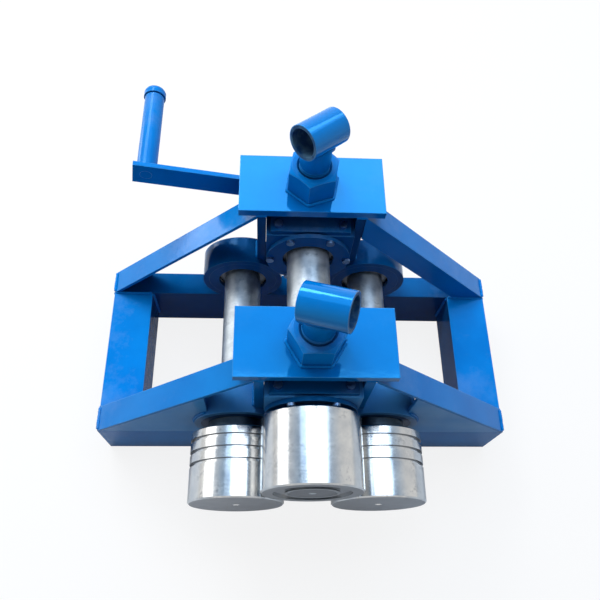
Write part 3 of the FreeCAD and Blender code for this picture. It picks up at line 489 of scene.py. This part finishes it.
def threaded_screw(screw_y, axis):
    """The grid of one screw, in metres: rows from its foot up to the saddle and in to its middle.

    Its radius is 16.5 mm, and 13 mm along the neck.  Above the neck a right-handed M33 thread is cut in.
    With f the fractional part of height / 3.5 mm less angle / 2 pi, and t = |2 f - 1|, its depth is 2.15 mm
    times (0.875 - t) / 0.625, held between 0 and 1, and runs out over the last 2 mm at both ends.
    """
    angle = np.linspace(0, 2 * math.pi, columns_round + 1)[:-1]
    foot = [(shoulder_foot, stem_radius), (neck_foot, stem_radius),
            (neck_foot, neck_radius), (thread_foot, neck_radius)]
    height = np.linspace(thread_foot, thread_head, 273)
    share = (height[:, None] / thread_pitch - angle / (2 * math.pi)) % 1
    cut_in = np.clip((0.875 - np.abs(2 * share - 1)) / 0.625, 0, 1)
    run_out = np.clip(np.minimum(height - height[0], height[-1] - height) / thread_end, 0, 1)
    far = stem_radius - thread_depth * cut_in * run_out[:, None]
    rows = [np.stack([radius * np.cos(angle), screw_y + radius * np.sin(angle), np.full(columns_round, z)], 1)
            for z, radius in [*foot, *zip(height, far)]]
    for radius in np.linspace(stem_radius, 0.5, 17):
        across, deep = radius * np.cos(angle), radius * np.sin(angle)
        saddle = under_tube(across, deep, axis, tube_radius + 0.05)
        rows.append(np.stack([across, screw_y + deep, saddle], 1))
    return np.stack(rows) / 1000


stem_paint = sprayed_enamel("screw_enamel", painted_edge_highlight=0.15)
for truss, (screw_y, azimuth, tilt) in tees.items():
    azimuth, tilt = math.radians(azimuth), math.radians(tilt)
    axis = np.array([math.cos(azimuth) * math.cos(tilt), math.sin(azimuth) * math.cos(tilt), math.sin(tilt)])
    stem = closed_piece(f"{truss}_threaded_screw", f"{truss}_pressure_screw", [threaded_screw(screw_y, axis)],
                        stem_paint)
    stem.data.set_sharp_from_angle(angle=math.radians(50))
    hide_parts(f"{truss}_screw")
    centre = (0.0, screw_y / 1000, tee_height / 1000)
    finish_nodes(sprayed_enamel(f"{truss}_tube_enamel", "#006CB8", "#0074C2", mirror=True,
                                tube=(centre, tuple(axis))), f"{truss}_cross_tube")
    # The bead's path lies just off the stem's side and just off the tube's, once round.
    angle = np.linspace(0, 2 * math.pi, 49)
    across, deep = (stem_radius + 0.5) * np.cos(angle), (stem_radius + 0.5) * np.sin(angle)
    bead = np.stack([across, screw_y + deep, under_tube(across, deep, axis, tube_radius + 0.3)], 1)
    weld_piece(f"{truss}_tee_weld", f"{truss}_pressure_screw", [(bead, 2.0)], bead_paint)


# ---- Crank -----------------------------------------------------------------------------------------
# A flat bar on edge, welded to the hub by a bead on each side, round the part of the hub that it
# meets.  The grip turns on a pin in its far end.

hub_height, hub_radius = 201, 36
crank_beads = [(arc_y(0, beside_arm, hub_height, hub_radius + 0.4, 146, 193.5), 2.0)
               for beside_arm in (248.8, 255.2)]
weld_piece("crank_welds", "upper_roll", crank_beads, bead_paint)


# ---- Shafts, rollers and bearings ------------------------------------------------------------------
# Shafts of bright bar, rollers turned and faced in a lathe, and ground bearing rings and balls in grease.
# Spacers, clips and keys are oiled, and the bolts of covers and retainers are zinc plated, tinted blue by
# overspray and darkened as painted shade.

def turned_steel(name, low, high, rough_low, rough_high, ring_mm=1.3, faced=None, smudge=None):
    """Steel from the lathe: cutting rings across its axis, cloudy where it was handled.

    The rings are drawn coarser than the tool's feed so that they show.  A face that looks along Y can be
    duller and have a colour of its own, as it is left by a facing cut.
    """
    # Clouds of 26 mm, stains of 13 mm, and streaks 80 mm long and 1.6 mm wide, to the metre.
    cloud_scale, stain_scale, streaks = 38.0, 75.0, (12.0, 620.0, 12.0)
    material, tree, shader = new_finish(name)
    where = add_node(tree, "ShaderNodeTexCoord")
    place = where.outputs["Object"]
    cloud = add_node(tree, "ShaderNodeTexNoise", {"Vector": place, "Scale": cloud_scale, "Detail": 6.0,
                                                  "Roughness": 0.6})
    tone = add_node(tree, "ShaderNodeMapRange",
                    {"Value": cloud.outputs[0], "From Min": 0.35, "From Max": 0.65})
    colour = add_node(tree, "ShaderNodeMix", {0: tone.outputs[0], 6: linear(low), 7: linear(high)},
                      data_type="RGBA").outputs[2]
    stretched = add_node(tree, "ShaderNodeVectorMath", {0: place, 1: streaks}, operation="MULTIPLY")
    streak = add_node(tree, "ShaderNodeTexNoise",
                      {"Vector": stretched.outputs[0], "Scale": 1.0, "Detail": 3.0})
    both = add_node(tree, "ShaderNodeMath", {0: cloud.outputs[0], 1: streak.outputs[0]}, operation="ADD")
    rough = add_node(tree, "ShaderNodeMapRange",
                     {"Value": both.outputs[0], "From Min": 0.75, "From Max": 1.25,
                      "To Min": rough_low, "To Max": rough_high}).outputs[0]
    if smudge:
        stain = add_node(tree, "ShaderNodeTexNoise", {"Vector": place, "Scale": stain_scale, "Detail": 7.0,
                                                      "Roughness": 0.7})
        spot = add_node(tree, "ShaderNodeMapRange", {"Value": stain.outputs[0], "From Min": 0.56,
                                                     "From Max": 0.70, "To Max": 0.7})
        colour = add_node(tree, "ShaderNodeMix", {0: spot.outputs[0], 6: colour, 7: linear(smudge)},
                          data_type="RGBA").outputs[2]
    if faced:
        looks_out = add_node(tree, "ShaderNodeSeparateXYZ", {0: where.outputs["Normal"]}).outputs["Y"]
        turned_away = add_node(tree, "ShaderNodeMath", {0: looks_out}, operation="ABSOLUTE")
        face = add_node(tree, "ShaderNodeMapRange", {"Value": turned_away.outputs[0], "From Min": 0.85,
                                                     "From Max": 0.95}).outputs[0]
        colour = add_node(tree, "ShaderNodeMix", {0: face, 6: colour, 7: linear(faced)},
                          data_type="RGBA").outputs[2]
        more_rough = 0.25
        rough = add_node(tree, "ShaderNodeMath", {0: face, 1: more_rough, 2: rough},
                         operation="MULTIPLY_ADD").outputs[0]
    tree.links.new(colour, shader.inputs["Base Color"])
    shader.inputs["Metallic"].default_value = 1.0
    tree.links.new(rough, shader.inputs["Roughness"])
    # A wave texture repeats every 2 pi / (20 x Scale).
    ring_scale = 2 * math.pi / (20 * ring_mm / 1000)
    rings = add_node(tree, "ShaderNodeTexWave", {"Vector": place, "Scale": ring_scale, "Distortion": 0.0},
                     bands_direction="Y")
    bump = add_node(tree, "ShaderNodeBump", {"Height": rings.outputs["Fac"], "Strength": 0.10,
                                             "Distance": 0.0001})
    tree.links.new(bump.outputs[0], shader.inputs["Normal"])
    return material


finish_nodes(turned_steel("turned_steel", "#AEB1B4", "#CACAC8", 0.12, 0.22, faced="#8A8C90",
                          smudge="#868B91"),
             "left_roller", "right_roller", "upper_roller")
finish_nodes(turned_steel("bright_bar", "#8A9298", "#B4BABE", 0.36, 0.52, faced="#77797D",
                          smudge="#6E767C"),
             "left_shaft", "right_shaft", "upper_shaft")
finish_nodes(turned_steel("greased_steel", "#4A4C50", "#6E7074", 0.22, 0.36, ring_mm=0.8),
             *[name for name in nodes if "_ring" in name or name.endswith("_balls")])
finish_nodes(turned_steel("oiled_steel", "#33424F", "#55636F", 0.3, 0.5),
             "left_clips", "right_clips", "upper_clips", "upper_shaft_keys",
             "left_spacer", "right_spacer", "upper_spacer")
# Painted shade: the bolts' plating is darkened, and tinted blue by overspray.
finish_nodes(turned_steel("shaded_zinc_plate", "#4C6C94", "#7F9CBE", 0.25, 0.40, ring_mm=2.0),
             "cover_bolts", "retainer_bolts")
